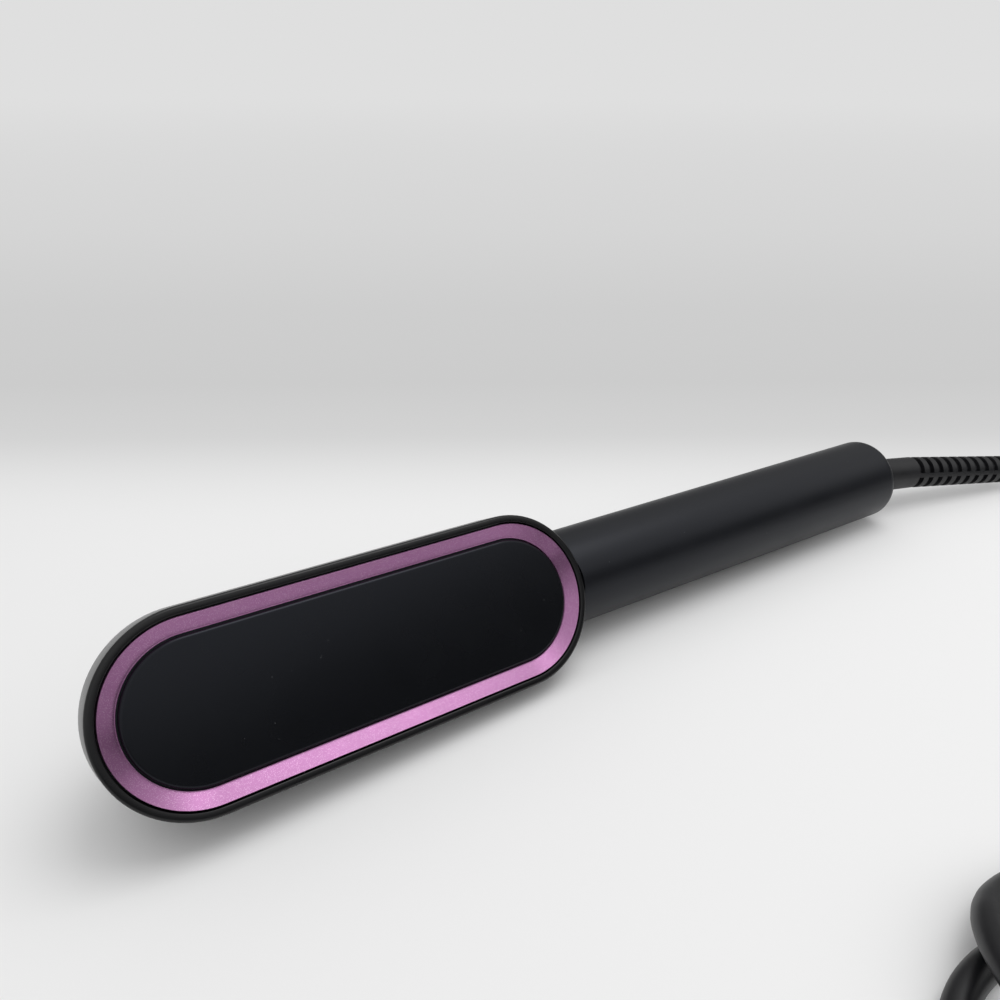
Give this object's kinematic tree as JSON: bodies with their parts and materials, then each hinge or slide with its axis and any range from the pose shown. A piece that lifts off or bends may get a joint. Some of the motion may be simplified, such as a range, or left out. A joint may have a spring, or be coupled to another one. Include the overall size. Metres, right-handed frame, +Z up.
{
  "type": "hair straightening brush",
  "caption": "Hair straightening brush with an oval heated comb head, a round handle with sprung keys and a mains cord on a swivel.",
  "frame": {"origin": "on the table below the middle of the brush without its cord, as it lies on the round edge of its head, its teeth and the rear end of its handle", "axes": "+X towards the rear end of the handle, +Z up, the back of the head facing -Y and up"},
  "size_m": [0.391, 0.2952, 0.0523],
  "materials": {
    "housing_black": "matte moulded, fine grain",
    "plate_black": "matte, soft-touch",
    "ring_purple": "satin metallic purple-pink lacquer",
    "comb_frame_black": "matte heat-resistant",
    "comb_metal": "ceramic-coated die-cast",
    "inner_plastic": "matte",
    "screw_steel": "zinc plated",
    "heater_white": "white alumina",
    "clamp_steel": "bright",
    "mica": "mica sheet",
    "bead": "epoxy bead",
    "fuse_case": "bright",
    "panel_black": "gloss",
    "window_clear": "diffusing",
    "board_green": "solder mask",
    "switch_dark": "matte",
    "led_white": "clear",
    "capacitor_yellow": "gloss",
    "terminal_green": "matte",
    "wire_red": "silicone sleeve",
    "wire_white": "silicone sleeve",
    "wire_brown": "silicone sleeve",
    "socket_white": "acetal",
    "contact_bronze": "spring bronze",
    "key_black": "satin",
    "slip_ring_brass": "bright",
    "relief_black": "matte",
    "cord_black": "satin sheath",
    "tie_black": "matte",
    "plug_black": "matte",
    "blade_brass": "nickel plated"
  },
  "bodies": {
    "brush": {"head_shell": "housing_black", "back_cover": "inner_plastic", "accent_ring": "ring_purple", "back_plate": "plate_black", "cover_screws": "screw_steel", "comb_frame": "comb_frame_black", "heat_comb": "comb_metal", "comb_screws": "screw_steel", "heater_plate": "heater_white", "heater_clamp": "clamp_steel", "clamp_screws": "screw_steel", "mica_sheet": "mica", "thermistor": "bead", "thermal_fuse": "fuse_case", "handle_back": "housing_black", "handle_front": "housing_black", "handle_chassis": "inner_plastic", "neck_screws": "screw_steel", "control_panel": "panel_black", "indicator_window": "window_clear", "control_board": "board_green", "board_screws": "screw_steel", "tact_switches": "switch_dark", "indicator_leds": "led_white", "triac": "switch_dark", "capacitor": "capacitor_yellow", "terminal_block": "terminal_green", "heater_leads": "wire_red", "sensor_leads": "wire_white", "supply_leads": "wire_brown", "rear_screw": "screw_steel", "swivel_socket": "socket_white", "contact_springs": "contact_bronze"},
    "power_key": {"power_button": "key_black"},
    "temp_up_key": {"temp_up_button": "key_black"},
    "temp_down_key": {"temp_down_button": "key_black"},
    "swivel": {"swivel_spindle": "inner_plastic", "slip_rings": "slip_ring_brass", "strain_relief": "relief_black", "free_cord": "cord_black", "cord_coil": "cord_black", "cord_tie": "tie_black", "plug_lead": "cord_black", "plug_body": "plug_black", "plug_blades": "blade_brass"}
  },
  "joints": [
    {"name": "power_press", "type": "slide", "parent": "brush", "child": "power_key", "axis": [-0.0253, -0.8616, 0.507], "range_m": [0, 0.0005], "stiffness_N_per_m": 3000},
    {"name": "temp_up_press", "type": "slide", "parent": "brush", "child": "temp_up_key", "axis": [-0.0253, -0.8616, 0.507], "range_m": [0, 0.0005], "stiffness_N_per_m": 3000},
    {"name": "temp_down_press", "type": "slide", "parent": "brush", "child": "temp_down_key", "axis": [-0.0253, -0.8616, 0.507], "range_m": [0, 0.0005], "stiffness_N_per_m": 3000},
    {"name": "cord_swivel", "type": "hinge", "parent": "brush", "child": "swivel", "pos_m": [0.13144, -0.00327, 0.01529], "axis": [0.9988, -0.0426, -0.0226], "continuous": true}
  ]
}
